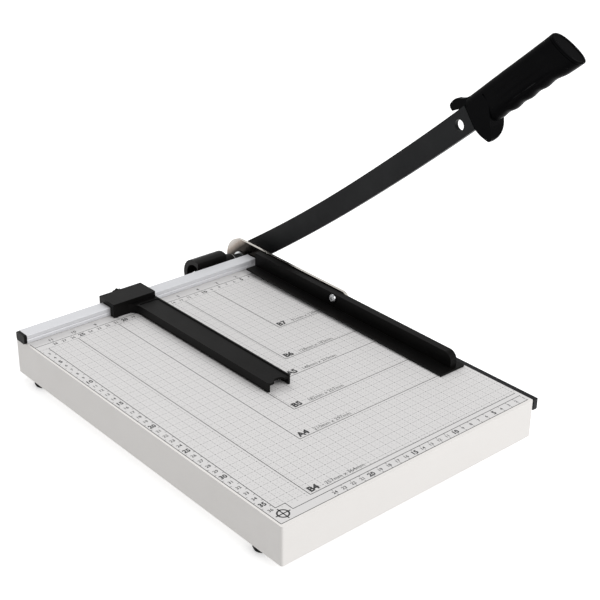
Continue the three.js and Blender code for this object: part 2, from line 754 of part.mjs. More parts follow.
const swung = (name, body, material) => add(name, hung(body, BLADE_RAISED), material);
const onAxis = (body) => body.translate([0, -PIVOT.y, -PIVOT.z]);
swung("cutting_blade", cuttingBlade(), BLACK_STEEL);
swung("handle_grip", handleGrip(), GRIP_PLASTIC);
swung("handle_end_cap", handleEndCap(), GRIP_PLASTIC);
HANDLE_FIXINGS.forEach((place, i) => swung(`handle_screw_${i + 1}`, handleScrew(place), ZINC));
swung("pivot_bolt", pivotBolt(), BLACK_STEEL);
swung("pivot_washer", onAxis(washer(...STACK.pivotWasher, 11)), ZINC);
swung("blade_sleeve", onAxis(washer(...STACK.sleeve, 8)), ZINC);
swung("lock_nut", onAxis(hexSleeve(...STACK.lockNut, 5.7)), ZINC);

const clamped = (name, body, material) => add(name, hung(body, -CLAMP_DIP), material);
clamped("clamp_lever", clampLever(), NICKEL);
clamped("guard_bar", guardBar(), BLACK_PLASTIC);
clamped("guard_screw", guardScrew(), ZINC);
clamped("guard_nut", guardNut(), ZINC);

add("paper_stop", paperStop(), BLACK_PLASTIC);
add("stop_knob", stopKnob(), BLACK_PLASTIC);
add("stop_pad", stopPad(), ZINC);

const bounds = new THREE.Box3().setFromObject(cutter);
const middle = bounds.getCenter(new THREE.Vector3());
cutter.position.set(-middle.x, -middle.y, -bounds.min.z);
const guillotine = new THREE.Group();
guillotine.add(cutter);

export default guillotine;
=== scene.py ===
"""Looks for the guillotine paper cutter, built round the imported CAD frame."""

import json
import math

import bmesh
import bpy
from mathutils import Matrix, Vector


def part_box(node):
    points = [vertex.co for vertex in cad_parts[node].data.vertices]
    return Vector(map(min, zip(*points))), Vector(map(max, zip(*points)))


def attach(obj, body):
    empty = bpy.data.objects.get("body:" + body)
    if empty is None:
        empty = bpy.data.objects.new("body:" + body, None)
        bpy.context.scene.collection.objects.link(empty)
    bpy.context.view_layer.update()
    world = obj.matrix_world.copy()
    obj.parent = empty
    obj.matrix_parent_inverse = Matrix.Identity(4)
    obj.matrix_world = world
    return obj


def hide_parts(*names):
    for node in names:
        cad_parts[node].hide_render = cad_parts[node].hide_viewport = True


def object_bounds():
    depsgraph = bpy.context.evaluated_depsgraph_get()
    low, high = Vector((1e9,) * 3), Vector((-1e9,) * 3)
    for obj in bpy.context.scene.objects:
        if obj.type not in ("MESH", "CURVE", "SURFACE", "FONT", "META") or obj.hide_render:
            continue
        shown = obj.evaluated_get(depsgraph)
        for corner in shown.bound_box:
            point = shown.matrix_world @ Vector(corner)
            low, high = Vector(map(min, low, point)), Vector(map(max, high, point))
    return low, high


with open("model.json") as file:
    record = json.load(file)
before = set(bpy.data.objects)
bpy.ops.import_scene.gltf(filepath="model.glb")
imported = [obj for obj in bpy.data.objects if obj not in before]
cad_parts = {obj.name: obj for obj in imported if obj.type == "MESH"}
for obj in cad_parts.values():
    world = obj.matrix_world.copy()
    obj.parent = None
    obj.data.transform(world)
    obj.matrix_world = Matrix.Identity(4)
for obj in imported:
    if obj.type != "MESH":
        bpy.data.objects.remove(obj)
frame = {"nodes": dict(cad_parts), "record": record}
CAD_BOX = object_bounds()
NODES = frame["nodes"]
MM = 0.001

# The table's own corner: X = 0 at the cutting edge, Y = 0 at the fence, Z = 0 on the table.
CUTTING_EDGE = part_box("bed_knife")[1][0]
FENCE_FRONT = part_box("fence_rail")[0][1]
TABLE_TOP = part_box("base_tray")[1][2]
CORNER = Vector((CUTTING_EDGE, FENCE_FRONT, TABLE_TOP))

JOINTS = {joint["name"]: joint for joint in frame["record"]["behaviour"]["joints"]}
HINGE = Vector(JOINTS["blade_hinge"]["pos_m"])
RAISED = math.radians(37.5)  # the blade's angle at rest


def at(x, y, z=0.0):
    """A point given in millimetres from the table's corner, in the row frame."""
    return CORNER + Vector((x, y, z)) * MM


# ---------- materials ----------
class Shader:
    """A Principled material and short calls for the nodes that feed it."""

    def __init__(self, name, color, roughness, metallic=0.0, **sockets):
        self.material = bpy.data.materials.new(name)
        self.material.use_nodes = True
        self.tree = self.material.node_tree
        self.out = self.tree.nodes["Principled BSDF"]
        self.out.inputs["Base Color"].default_value = (*color, 1)
        self.out.inputs["Roughness"].default_value = roughness
        self.out.inputs["Metallic"].default_value = metallic
        for socket, value in sockets.items():
            self.out.inputs[socket.replace("_", " ")].default_value = value
        self.place = self.node("ShaderNodeTexCoord").outputs["Object"]

    def fill(self, made, inputs):
        """Links a node's inputs, or sets those that are given as plain values."""
        for key, value in inputs.items():
            if isinstance(value, bpy.types.NodeSocket):
                self.tree.links.new(value, made.inputs[key])
            else:
                made.inputs[key].default_value = value

    def node(self, kind, inputs=None, **settings):
        made = self.tree.nodes.new(kind)
        for key, value in settings.items():
            setattr(made, key, value)
        self.fill(made, inputs or {})
        return made

    def noise(self, scale, detail=4.0, rough=0.55, stretch=None):
        """Noise from 0 to 1; stretch multiplies the object coordinates, one number an axis."""
        place = self.place
        if stretch:
            inputs = {0: self.place, 1: stretch}
            place = self.node("ShaderNodeVectorMath", inputs, operation="MULTIPLY").outputs[0]
        inputs = {"Vector": place, "Scale": scale, "Detail": detail, "Roughness": rough}
        return self.node("ShaderNodeTexNoise", inputs).outputs["Fac"]

    def spread(self, value, low, high, start=0.0, end=1.0):
        """The value moved from the range start..end to low..high."""
        inputs = {"Value": value, 1: start, 2: end, 3: low, 4: high}
        return self.node("ShaderNodeMapRange", inputs).outputs[0]

    def mix(self, factor, first, second):
        """A colour between first and second, each a socket or three plain numbers."""
        colors = [
            color if isinstance(color, bpy.types.NodeSocket) else (*color, 1)
            for color in (first, second)
        ]
        inputs = {0: factor, 6: colors[0], 7: colors[1]}
        return self.node("ShaderNodeMix", inputs, data_type="RGBA").outputs[2]

    def math(self, operation, first, second=0.0, third=0.0):
        inputs = {0: first, 1: second, 2: third}
        return self.node("ShaderNodeMath", inputs, operation=operation).outputs[0]

    def distance(self, axis, start, scale):
        """How far along an axis from start, in metres times scale."""
        apart = self.node("ShaderNodeSeparateXYZ", {0: self.place})
        return self.math("MULTIPLY_ADD", apart.outputs[axis], scale, -scale * start)

    def between(self, value, low, high):
        """1 where the value is between low and high, 0 elsewhere."""
        above = self.math("GREATER_THAN", value, low)
        return self.math("MULTIPLY", above, self.math("LESS_THAN", value, high))

    def peak(self, value, middle, reach):
        """1 at the middle, fading to 0 at reach from it."""
        away = self.math("ABSOLUTE", self.math("SUBTRACT", value, middle))
        return self.spread(away, 1.0, 0.0, 0.0, reach)

    def set(self, socket, value):
        self.tree.links.new(value, self.out.inputs[socket])

    def bump(self, height, distance, strength):
        inputs = {"Height": height, "Distance": distance, "Strength": strength}
        self.set("Normal", self.node("ShaderNodeBump", inputs).outputs[0])


CLOUDY = (0.3, 0.7)  # the part of a noise's range that most of it lies in

# The grid on the table: lines in a centimetre, how far from between two lines the ink starts
# (0.5 is the line itself), the same two numbers for the dashes on them, and how dark it is.
GRID_RULINGS = (
    (1.0, 0.472, 3.0, 0.27, 0.62),  # dashed lines
    (2.0, 0.445, 4.0, 0.33, 0.5),  # dotted lines
    (1.0, 0.448, 1.0, 0.448, 0.75),  # a spot at each crossing
)
GRID_X, GRID_Y = (-29.0, -0.58), (-36.4, -2.0)  # centimetres from the table's corner
PANEL_X, PANEL_Y = (-30.0, 0.0), (-37.9, 0.0)
UPPER_FACE = -0.004


def powder_coat():
    """White powder coat, with the fine dashed centimetre grid printed on its upper face."""
    s = Shader("white_powder_coat", (0.8, 0.795, 0.79), 0.42)
    x, y, z = (s.distance(axis, CORNER[axis], 100.0) for axis in range(3))

    def from_gap(value, count):
        """Distance from the middle of each of count steps a centimetre, 0 to 0.5."""
        part = s.math("FRACT", s.math("MULTIPLY", value, count))
        return s.math("ABSOLUTE", s.math("SUBTRACT", part, 0.5))

    def ruled(across, along, lines, line_edge, dashes, dash_edge):
        on_line = s.math("GREATER_THAN", from_gap(across, lines), line_edge)
        on_dash = s.math("GREATER_THAN", from_gap(along, dashes), dash_edge)
        return s.math("MULTIPLY", on_line, on_dash)

    grid = 0.0
    for *ruling, darkness in GRID_RULINGS:
        both_ways = s.math("MAXIMUM", ruled(x, y, *ruling), ruled(y, x, *ruling))
        grid = s.math("MAXIMUM", grid, s.math("MULTIPLY", both_ways, darkness))
    top = s.math("GREATER_THAN", z, UPPER_FACE)
    inside = s.math("MULTIPLY", s.between(x, *GRID_X), s.between(y, *GRID_Y))
    grid = s.math("MULTIPLY", grid, s.math("MULTIPLY", inside, top))
    panel = s.math("MULTIPLY", s.between(x, *PANEL_X), s.between(y, *PANEL_Y))
    panel = s.math("MULTIPLY", panel, top)
    paint = s.mix(s.noise(14, 3), (0.79, 0.765, 0.742), (0.82, 0.797, 0.775))
    sheet = s.mix(panel, paint, (0.7, 0.688, 0.684))
    s.set("Base Color", s.mix(grid, sheet, (0.12, 0.12, 0.12)))
    s.set("Roughness", s.spread(s.noise(60), 0.36, 0.5, *CLOUDY))
    s.bump(s.noise(900, 2), 0.12 * MM, 0.35)
    return s


def black(name, color, roughness, grain, depth, shine):
    """A black finish; grain and depth are its bumps, shine how much it mirrors at its front."""
    s = Shader(name, color, roughness[0], Specular_IOR_Level=shine)
    lighter = tuple(c * 1.5 + 0.0006 for c in color)  # the finish is a little uneven
    s.set("Base Color", s.mix(s.spread(s.noise(40), 0, 1, 0.3, 0.75), color, lighter))
    s.set("Roughness", s.spread(s.noise(25, 5), *roughness, *CLOUDY))
    s.bump(s.noise(grain, 3), depth * MM, 0.5)
    return s


def brushed(name, color, roughness, stretch, grain, metallic):
    """Metal with a fine grain; a stretch below 1 draws it out into lines along that axis."""
    s = Shader(name, color, roughness[0], metallic)
    lines = s.noise(grain, 3, 0.6, stretch)
    darker = tuple(c * 0.86 for c in color)
    s.set("Base Color", s.mix(s.noise(30, 4, 0.5, stretch), darker, color))
    s.set("Roughness", s.spread(lines, *roughness, *CLOUDY))
    s.bump(lines, 0.04 * MM, 0.4)
    return s


# The painted reflection on the nickel lever, a dark patch, in millimetres from the hinge. Its edge
# is a
# slanted line: distance along less PATCH_SLANT times the height, made uneven by PATCH_BLOT.
PATCH_SLANT, PATCH_BLOT = 1.2, 4.0
PATCH_FADE = (-28.5, -18.0)
# the painted light rim beyond the dark patch, a painted highlight
RIM_HIGHLIGHT_FADE = (-36.0, -27.0)
# the painted glint, a painted highlight on the lever
GLINT_ALONG, GLINT_HEIGHT = (40.0, 7.0), (19.5, 4.5)  # middle and reach


def polished_nickel():
    """Nickel with painted reflections and highlights: a dark patch, as if it mirrored the bracket,
    a light rim, a glint and lighter upper faces.
    """
    s = Shader("nickel_plate", (0.6, 0.55, 0.48), 0.2, 1.0)
    along = s.distance(1, HINGE.y, -1000.0)
    height = s.distance(2, HINGE.z, 1000.0)
    depth = s.math("MULTIPLY_ADD", height, -PATCH_SLANT, along)
    depth = s.math("MULTIPLY_ADD", s.noise(90, 3), PATCH_BLOT, depth)
    # painted reflection: the dark patch, as if the lever mirrored the black bracket beside it
    shade = s.spread(depth, 1.0, 0.0, *PATCH_FADE)
    face = s.mix(shade, (0.02, 0.016, 0.013), (0.3, 0.255, 0.22))
    # painted highlight: a light rim along the edge of the painted reflection
    rim = s.spread(depth, 1.0, 0.0, *RIM_HIGHLIGHT_FADE)
    face = s.mix(rim, face, (0.5, 0.48, 0.455))
    # painted glint: a highlight painted where the lever's lower edge turns
    glint = s.math("MULTIPLY", s.peak(along, *GLINT_ALONG), s.peak(height, *GLINT_HEIGHT))
    face = s.mix(s.math("MULTIPLY", glint, 0.8), face, (0.8, 0.76, 0.7))
    # painted highlight: faces that turn up are painted lighter, as if lit from above
    normal = s.node("ShaderNodeNewGeometry").outputs["Normal"]
    upward = s.node("ShaderNodeSeparateXYZ", {0: normal}).outputs[2]
    s.set("Base Color", s.mix(s.spread(upward, 0.0, 1.0, 0.3, 0.7), face, (0.86, 0.82, 0.76)))
    s.set("Roughness", s.spread(s.noise(200, 3), 0.16, 0.26, *CLOUDY))
    return s


MATERIALS = {
    "white_paint": powder_coat(),
    "black_steel": black(
        "black_steel", (0.0062, 0.0066, 0.0074), (0.38, 0.5), grain=700, depth=0.03, shine=0.13
    ),
    "black_casting": black(
        "black_casting", (0.0035, 0.0032, 0.003), (0.3, 0.42), grain=420, depth=0.1, shine=0.1
    ),
    "black_plastic": black(
        "black_moulding", (0.003, 0.0028, 0.0027), (0.32, 0.44), grain=1100, depth=0.05, shine=0.08
    ),
    "grip_plastic": black(
        "grip_moulding", (0.0006, 0.0006, 0.0009), (0.26, 0.38), grain=900, depth=0.04, shine=0.03
    ),
    "rubber": black(
        "rubber", (0.004, 0.004, 0.004), (0.7, 0.85), grain=500, depth=0.08, shine=0.2
    ),
    "nickel_plate": polished_nickel(),
    "zinc_plate": brushed(
        "zinc_plate", (0.62, 0.63, 0.64), (0.22, 0.36), (1, 1, 1), grain=600, metallic=1.0
    ),
    "aluminium": brushed(
        "anodised_aluminium",
        (0.74, 0.745, 0.77),
        (0.42, 0.55),
        (0.02, 1, 1),
        grain=900,
        metallic=0.35,
    ),
}
SLOT_OF = {part["node"]: part["material_slot"] for part in frame["record"]["subparts"]}


# ---------- edges ----------
def smooth_group(limit):
    """A modifier's node group that shades smooth across edges flatter than limit degrees."""
    group = bpy.data.node_groups.new("smooth_by_angle", "GeometryNodeTree")
    for way in ("INPUT", "OUTPUT"):
        group.interface.new_socket("Geometry", in_out=way, socket_type="NodeSocketGeometry")
    source = group.nodes.new("NodeGroupInput")
    target = group.nodes.new("NodeGroupOutput")
    faces = group.nodes.new("GeometryNodeSetShadeSmooth")
    faces.domain = "FACE"
    edges = group.nodes.new("GeometryNodeSetShadeSmooth")
    edges.domain = "EDGE"
    angle = group.nodes.new("GeometryNodeInputMeshEdgeAngle")
    flat = group.nodes.new("FunctionNodeCompare")
    flat.operation = "LESS_THAN"
    flat.inputs[1].default_value = math.radians(limit)
    links = group.links
    links.new(angle.outputs["Unsigned Angle"], flat.inputs[0])
    links.new(source.outputs[0], faces.inputs["Geometry"])
    links.new(faces.outputs[0], edges.inputs["Geometry"])
    links.new(flat.outputs[0], edges.inputs["Shade Smooth"])
    links.new(edges.outputs[0], target.inputs[0])
    return group


SMOOTH_LIMIT = 32  # degrees
SMOOTH = smooth_group(SMOOTH_LIMIT)


def soften(obj, bevel, segments=2, angle=35):
    """Rounds a piece's edges by bevel millimetres and shades its curves smooth."""
    weld = obj.modifiers.new("weld", "WELD")
    weld.merge_threshold = 0.01 * MM
    if bevel:
        soft = obj.modifiers.new("soft_edges", "BEVEL")
        soft.width = bevel * MM
        soft.segments = segments
        soft.limit_method = "ANGLE"
        soft.angle_limit = math.radians(angle)
    shade = obj.modifiers.new("shade", "NODES")
    shade.node_group = SMOOTH
    normals = obj.modifiers.new("normals", "WEIGHTED_NORMAL")
    normals.keep_sharp = True


def finish_node(name, bevel):
    """Gives a CAD node its material and softens its edges by bevel millimetres."""
    obj = NODES[name]
    material = MATERIALS[SLOT_OF[name]].material
    if not obj.material_slots:
        obj.data.materials.append(material)
    for material_slot in obj.material_slots:
        material_slot.material = material
    soften(obj, bevel)


BEVELS = {  # millimetres
    "base_tray": 0.5,
    "fence_rail": 0.25,
    "rail_end_cap": 0.5,
    "guard_bar": 0.5,
    "paper_stop": 0.4,
    "clamp_lever": 0.4,
    "cutting_blade": 0.25,
    "bed_knife": 0.3,
    "hinge_bracket": 0.5,
    "stop_knob": 0.4,
}
SMALL_PART_BEVEL = 0.15
for node_name in NODES:
    finish_node(node_name, BEVELS.get(node_name, SMALL_PART_BEVEL))


# ---------- pieces ----------
def new_piece(name, mesh, slot, body, replaced=()):
    """Adds a mesh as a piece that rides on a body and takes the finish of a slot."""
    obj = bpy.data.objects.new(name, mesh)
    bpy.context.scene.collection.objects.link(obj)
    if not mesh.materials:
        mesh.materials.append(MATERIALS[slot].material)
    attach(obj, body)
    if replaced:
        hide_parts(*replaced)
    return obj


def to_data(name, mesh):
    """Turns a bmesh into mesh data with the given name."""
    data = bpy.data.meshes.new(name)
    mesh.to_mesh(data)
    mesh.free()
    return data


def closed_piece(name, mesh, bevel, replaced=()):
    """Adds a closed bmesh to the blade arm, in the grip's finish, with softened edges."""
    bmesh.ops.recalc_face_normals(mesh, faces=mesh.faces)
    obj = new_piece(name, to_data(name, mesh), "grip_plastic", "blade_arm", replaced)
    soften(obj, bevel, segments=4, angle=40)


# ---------- the printed table ----------
def printing_ink(name, dark, light):
    """Matt ink that varies a little between two greys."""
    s = Shader(name, dark, 0.5)
    s.set("Base Color", s.mix(s.noise(300), dark, light))
    return s


INK = printing_ink("printing_ink", (0.012, 0.012, 0.013), (0.026, 0.026, 0.028))
PALE_INK = printing_ink("pale_printing_ink", (0.11, 0.11, 0.11), (0.17, 0.17, 0.17))
PRINT_LIFT = 0.04  # millimetres above the paint

# Everything below is in millimetres from the table's corner.
TABLE_LEFT, TABLE_RIGHT, TABLE_NEAR, TABLE_FAR = -300, -9, -379, -2
STRIP_LEFT = -290  # right side of the left ruler
STRIP_NEAR = -369.6  # far side of the near ruler
INCH_ROW, CM_ROW = -11.3, -20
BOX_RIGHT, BOX_FAR = -280, -360  # the box for the mark in the near left corner
CM, INCH = 10, 25.4
LEFT_RULER, NEAR_RULER, FAR_RULER = range(3, 37), range(1, 25), range(1, 29)
INCHES = range(1, 12)
TICK, SHORT_TICK, TICK_WIDTH = 2, 1.4, 0.4
NUMBER, FIFTH_NUMBER = {"height": 3.4, "bold": 0.08}, {"height": 4.7, "bold": 0.26}
INCH_NUMBER, INCH_NUMBER_ROW = {"height": 4, "bold": 0.08}, -6.2
SHEETS = (  # standard paper sizes, width and length
    ("B7", 91, 128),
    ("B6", 128, 182),
    ("A5", 148, 210),
    ("B5", 182, 257),
    ("A4", 210, 297),
    ("B4", 257, 364),
)
SHEET_NAME = {"height": 6.6, "align": "LEFT", "bold": 0.42}
SHEET_SIZE = {"height": 4.2, "align": "LEFT", "bold": 0.05}
NAME_PLACE, SIZE_PLACE = (2.6, 5.6), (19.5, 4.2)  # from the near left corner of the sheet
MARK_RING, MARK_ARM, MARK_LINE = (4.2, 5.6), 7.4, 1.1


class Print:
    """Flat ink on the table, gathered into one mesh."""

    def __init__(self):
        self.mesh = bmesh.new()

    def face(self, corners):
        self.mesh.faces.new([self.mesh.verts.new(at(x, y, PRINT_LIFT)) for x, y in corners])

    def line(self, x0, y0, x1, y1, width=0.62):
        """A line along X or along Y."""
        half = width / 2
        if x0 == x1:
            self.face([(x0 - half, y0), (x0 + half, y0), (x0 + half, y1), (x0 - half, y1)])
        else:
            self.face([(x0, y0 - half), (x1, y0 - half), (x1, y0 + half), (x0, y0 + half)])

    def tick(self, x0, y0, x1, y1):
        self.line(x0, y0, x1, y1, TICK_WIDTH)

    def dashes(self, x0, x1, y, dash=2, gap=1.4, width=0.3):
        x = x0
        while x + dash < x1:
            self.line(x, y, x + dash, y, width)
            x += dash + gap

    def text(self, words, x, y, height, align="CENTER", bold=0.0):
        """Words whose capitals are height millimetres tall, centred on y."""
        curve = bpy.data.curves.new("words", "FONT")
        curve.body = words
        curve.size = height / 0.7  # a capital is 0.7 of the font's size
        curve.align_x = align
        curve.offset = bold
        curve.resolution_u = 2
        obj = bpy.data.objects.new("words", curve)
        bpy.context.scene.collection.objects.link(obj)
        bpy.context.view_layer.update()
        outline = bpy.data.meshes.new_from_object(obj)
        bpy.data.objects.remove(obj)
        bpy.data.curves.remove(curve)
        for vertex in outline.vertices:
            vertex.co = at(x + vertex.co.x, y + vertex.co.y - height / 2, PRINT_LIFT)
        self.mesh.from_mesh(outline)
        bpy.data.meshes.remove(outline)

    def number(self, value, x, y):
        """A ruler number, heavier at each five."""
        style = NUMBER if value % 5 else FIFTH_NUMBER
        self.text(str(value), x, y, **style)

    def ring(self, x, y, inner, outer, sides=32):
        for i in range(sides):
            turns = [2 * math.pi * k / sides for k in (i, i + 1)]
            rim = [(x + outer * math.cos(t), y + outer * math.sin(t)) for t in turns]
            hole = [(x + inner * math.cos(t), y + inner * math.sin(t)) for t in turns]
            self.face([*rim, *hole[::-1]])

    def finish(self, name, shader):
        """Adds the print to the table as one piece that faces up."""
        bmesh.ops.recalc_face_normals(self.mesh, faces=self.mesh.faces)
        for face in self.mesh.faces:
            if face.normal.z < 0:
                face.normal_flip()
        data = to_data(name, self.mesh)
        data.materials.append(shader.material)
        new_piece(name, data, "white_paint", "base")


def print_frame(ink):
    """The lines round the table, its rulers and the box in its corner."""
    ink.line(TABLE_LEFT, TABLE_FAR, TABLE_LEFT, TABLE_NEAR)
    ink.line(TABLE_LEFT, TABLE_NEAR, TABLE_RIGHT, TABLE_NEAR)
    ink.line(STRIP_LEFT, CM_ROW, STRIP_LEFT, BOX_FAR)
    ink.line(STRIP_LEFT, BOX_FAR, BOX_RIGHT, BOX_FAR)
    ink.line(BOX_RIGHT, BOX_FAR, BOX_RIGHT, STRIP_NEAR)
    ink.line(BOX_RIGHT, STRIP_NEAR, TABLE_RIGHT, STRIP_NEAR)
    ink.line(TABLE_LEFT, INCH_ROW, TABLE_RIGHT, INCH_ROW)
    ink.dashes(TABLE_LEFT, TABLE_RIGHT, CM_ROW)


def print_rulers(ink):
    """The numbers and ticks of the four rulers."""
    for cm in LEFT_RULER:
        y = -CM * cm
        ink.number(cm, (TABLE_LEFT + STRIP_LEFT) / 2, y)
        ink.tick(TABLE_LEFT, y + CM / 2, TABLE_LEFT + TICK, y + CM / 2)
        ink.tick(STRIP_LEFT - TICK, y + CM / 2, STRIP_LEFT, y + CM / 2)
    for cm in NEAR_RULER:
        x = -CM * cm
        ink.number(cm, x, (TABLE_NEAR + STRIP_NEAR) / 2)
        ink.tick(x, TABLE_NEAR, x, TABLE_NEAR + TICK)
        ink.tick(x, STRIP_NEAR - TICK, x, STRIP_NEAR)
    for cm in FAR_RULER:
        x = -CM * cm
        ink.number(cm, x, (INCH_ROW + CM_ROW) / 2)
        ink.tick(x, INCH_ROW - SHORT_TICK, x, INCH_ROW)
    for inch in INCHES:
        x = -INCH * inch
        ink.text(str(inch), x, INCH_NUMBER_ROW, **INCH_NUMBER)
        ink.tick(x, INCH_ROW, x, INCH_ROW + TICK)


def print_sheets(ink, pale):
    """Two sides, the name and the size of each sheet of paper."""
    for name, width, length in SHEETS:
        ink.line(-width, CM_ROW, -width, -length)
        ink.line(-width, -length, TABLE_RIGHT, -length)
        ink.text(name, NAME_PLACE[0] - width, NAME_PLACE[1] - length, **SHEET_NAME)
        size = f"{width}mm x {length}mm"
        pale.text(size, SIZE_PLACE[0] - width, SIZE_PLACE[1] - length, **SHEET_SIZE)


def print_mark(ink):
    """A ring and a cross in the corner box."""
    x, y = (TABLE_LEFT + BOX_RIGHT) / 2, (TABLE_NEAR + BOX_FAR) / 2
    ink.ring(x, y, *MARK_RING)
    ink.line(x - MARK_ARM, y, x + MARK_ARM, y, MARK_LINE)
    ink.line(x, y - MARK_ARM, x, y + MARK_ARM, MARK_LINE)


def print_table():
    ink, pale = Print(), Print()
    print_frame(ink)
    print_rulers(ink)
    print_sheets(ink, pale)
    print_mark(ink)
    ink.finish("table_print", INK)
    pale.finish("table_print_pale", PALE_INK)


print_table()


# ---------- handle, in millimetres ----------
def arm_point(s, height, x):
    """A point of the blade arm: distance from the hinge and height in the closed arm, in mm."""
    along = s * math.cos(RAISED) - height * math.sin(RAISED)
    up = s * math.sin(RAISED) + height * math.cos(RAISED)
    return Vector((CORNER.x + x * MM, HINGE.y - along * MM, HINGE.z + up * MM))


GRIP_ROWS = (  # distance from the hinge, top and bottom of the grip
    (388, 22.2, -9.2),
    (431, 24.7, -9.0),
    (452, 25.9, -7.7),
    (470, 26.9, -6.7),
    (488, 27.9, -5.9),
    (497, 28.4, -6.1),
    (532, 30.4, -3.8),
)
GRIP_X, GRIP_HALF = 9.5, 9.15  # middle and half of its width
GRIP_SQUARENESS = 2.35  # 2 is an oval, and more is squarer
GRIP_START, GRIP_LIP = 388.6, 0.8
BUTT_AT, BUTT_HEIGHT, BUTT_LEAN = 509.15, 12.1, math.radians(23)
LEAN_FROM = 470  # where the rings start to tip over towards the butt
JOINT_GAP = (2.9, 2.6)  # where the grip ends and its end cap starts, before the butt
GROOVE_FIRST, GROOVE_PITCH, GROOVES, GROOVE_DEPTH = 424.5, 19.4, 4, 1.05  # for the fingers
FLUTE_ANGLES = (-0.62, -0.22, 0.2)  # round the side of the grip, from level, in radians
FLUTE_WIDTH, FLUTE_DEPTH = 0.075, 0.55
FLUTES_FROM, FLUTES_TO, FLUTE_FADES = 425, 492, (15, 12)
GRIP_SIDES, GRIP_STEPS = 112, 150
LAST_STEP, LAST_SHRINK = 0.15, 0.35  # the grip's last ring, which rounds its end


def clamp(value):
    return min(max(value, 0), 1)


def grip_span(s):
    """Top and bottom of the grip, eased through its rows."""
    rows = GRIP_ROWS
    index = max(i for i in range(len(rows) - 1) if rows[i][0] <= s or i == 0)
    before = rows[max(index - 1, 0)]
    start, end = rows[index], rows[index + 1]
    after = rows[min(index + 2, len(rows) - 1)]
    t = (s - start[0]) / (end[0] - start[0])
    spans = []
    for k in (1, 2):
        slope_in = (end[k] - before[k]) / 2
        slope_out = (after[k] - start[k]) / 2
        value = (
            (2 * t**3 - 3 * t**2 + 1) * start[k]
            + (t**3 - 2 * t**2 + t) * slope_in
            + (3 * t**2 - 2 * t**3) * end[k]
            + (t**3 - t**2) * slope_out
        )
        spans.append(value)
    return spans


def groove(s):
    """Depth of the finger grooves at s."""
    place = (s - GROOVE_FIRST) / GROOVE_PITCH
    if -0.5 < place < GROOVES - 0.5:
        return GROOVE_DEPTH * (1 + math.cos(2 * math.pi * place)) / 2
    return 0.0


def flute(s, angle):
    """Depth of the flutes along the sides at s, at an angle round the grip."""
    near_end = clamp((s - FLUTES_FROM) / FLUTE_FADES[0])
    far_end = clamp((FLUTES_TO - s) / FLUTE_FADES[1])
    side = angle if math.cos(angle) > 0 else math.pi - angle
    side = math.remainder(side, 2 * math.pi)
    dips = sum(math.exp(-(((side - middle) / FLUTE_WIDTH) ** 2)) for middle in FLUTE_ANGLES)
    return FLUTE_DEPTH * dips * near_end * far_end


def grip_ring(s, shrink=0.0, lean=0.0):
    """Points round the grip at s; lean 1 tips the ring over as far as the butt is tipped."""
    top, bottom = grip_span(s)
    points = []
    for j in range(GRIP_SIDES):
        angle = 2 * math.pi * j / GRIP_SIDES
        across, up = math.cos(angle), math.sin(angle)
        power = GRIP_SQUARENESS
        size = (abs(across) ** power + abs(up) ** power) ** (-1 / power)
        half_height = (top - bottom) / 2 - shrink - groove(s) * max(0.0, -up)
        half_width = GRIP_HALF - shrink - flute(s, angle)
        height = (top + bottom) / 2 + half_height * size * up
        run = s - math.tan(BUTT_LEAN) * (height - BUTT_HEIGHT) * lean
        points.append(arm_point(run, height, GRIP_X + half_width * size * across))
    return points


def grip_rings():
    """Rings from the hilt to just before the end cap, tipping over more and more."""
    end = BUTT_AT - JOINT_GAP[0]
    rings = [grip_ring(GRIP_START, GRIP_LIP), grip_ring(GRIP_START + GRIP_LIP)]
    for i in range(1, GRIP_STEPS + 1):
        s = GRIP_START + (end - GRIP_START) * i / GRIP_STEPS
        lean = max(0.0, (s - LEAN_FROM) / (end - LEAN_FROM)) ** 2
        rings.append(grip_ring(s, 0.0, lean))
    rings.append(grip_ring(end + LAST_STEP, LAST_SHRINK, 1.0))
    return rings


def cap_rings():
    """Rings of the end cap: its rounded side and the shallow dish in its end."""
    start = BUTT_AT - JOINT_GAP[1]
    rows = (  # how far from its start, and how much smaller than the grip
        (0, 0.35),
        (0.25, 0.0),
        (1.9, 0.0),
        (2.35, 0.25),
        (2.6, 0.8),
        (2.6, 2.2),
        (2.1, 2.9),
    )
    return [grip_ring(start + run, shrink, 1.0) for run, shrink in rows]


def loft(name, rings, replaced):
    """A closed skin over rings of the same number of points."""
    mesh = bmesh.new()
    rows = [[mesh.verts.new(point) for point in ring] for ring in rings]
    for row, beyond in zip(rows, rows[1:]):
        for j in range(len(row)):
            k = (j + 1) % len(row)
            mesh.faces.new((row[j], row[k], beyond[k], beyond[j]))
    mesh.faces.new(rows[0][::-1])
    mesh.faces.new(rows[-1])
    closed_piece(name, mesh, 0, replaced)


loft("grip_moulding", grip_rings(), ("handle_grip",))
loft("grip_end_moulding", cap_rings(), ("handle_end_cap",))


def bezier(points, count=10):
    """Points along quadratic curves: start, then pairs of a handle and an end."""
    path = [Vector(points[0])]
    for handle, end in zip(points[1::2], points[2::2]):
        start, handle, end = path[-1], Vector(handle), Vector(end)
        for i in range(1, count + 1):
            t = i / count
            path.append((1 - t) ** 2 * start + 2 * t * (1 - t) * handle + t**2 * end)
    return path[:-1]


